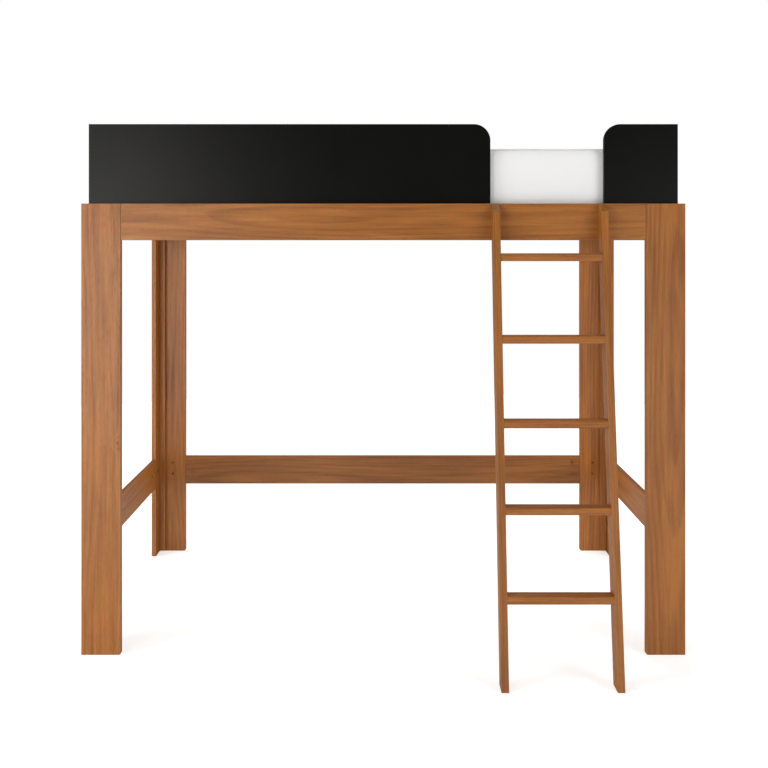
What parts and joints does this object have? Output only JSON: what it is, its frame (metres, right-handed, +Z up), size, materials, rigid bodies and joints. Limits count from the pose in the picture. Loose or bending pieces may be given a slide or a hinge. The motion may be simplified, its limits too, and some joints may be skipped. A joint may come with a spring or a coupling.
{
  "type": "loft bed",
  "caption": "High single bed on angle posts with black guard panels, a leaning ladder and a plain mattress, open underneath.",
  "frame": {"origin": "middle of the ground that the bed and its ladder cover, on the floor", "axes": "+X along the bed towards the ladder's end, +Y from the ladder side to the rear, +Z up"},
  "size_m": [1.974, 1.2154, 1.737],
  "materials": {
    "stained_wood": "satin brown stain over a straight grain",
    "black_lacquer": "satin black lacquer",
    "pine": "planed and untreated",
    "mattress_cover": "fine white knitted cover",
    "zinc": "zinc plated"
  },
  "bodies": {
    "frame": {"post_face_front_left": "stained_wood", "post_face_front_right": "stained_wood", "post_face_rear_left": "stained_wood", "post_face_rear_right": "stained_wood", "post_side_front_left": "stained_wood", "post_side_front_right": "stained_wood", "post_side_rear_left": "stained_wood", "post_side_rear_right": "stained_wood", "corner_batten_front_left": "stained_wood", "corner_batten_front_right": "stained_wood", "corner_batten_rear_left": "stained_wood", "corner_batten_rear_right": "stained_wood", "top_rail_front": "stained_wood", "top_rail_rear": "stained_wood", "top_rail_left": "stained_wood", "top_rail_right": "stained_wood", "lower_rail_rear": "stained_wood", "lower_rail_left": "stained_wood", "lower_rail_right": "stained_wood", "guard_front_left": "black_lacquer", "guard_front_right": "black_lacquer", "guard_rear": "black_lacquer", "guard_left_end": "black_lacquer", "guard_right_end": "black_lacquer", "cleat_front": "pine", "cleat_rear": "pine", "slat_01": "pine", "slat_02": "pine", "slat_03": "pine", "slat_04": "pine", "slat_05": "pine", "slat_06": "pine", "slat_07": "pine", "slat_08": "pine", "slat_09": "pine", "slat_10": "pine", "slat_11": "pine", "slat_12": "pine", "stile_left": "stained_wood", "stile_right": "stained_wood", "rung_1": "stained_wood", "rung_2": "stained_wood", "rung_3": "stained_wood", "rung_4": "stained_wood", "rung_5": "stained_wood", "connector_rear_left_low": "zinc", "connector_rear_left_high": "zinc", "connector_rear_right_low": "zinc", "connector_rear_right_high": "zinc", "connector_end_left_front": "zinc", "connector_end_left_rear": "zinc", "connector_end_right_front": "zinc", "connector_end_right_rear": "zinc", "ladder_bolt_left": "zinc", "ladder_bolt_right": "zinc"},
    "mattress": {"mattress": "mattress_cover"}
  },
  "joints": [
    {"name": "mattress_lift", "type": "slide", "parent": "frame", "child": "mattress", "axis": [0, 0, 1], "range_m": [0, 0.35]}
  ]
}
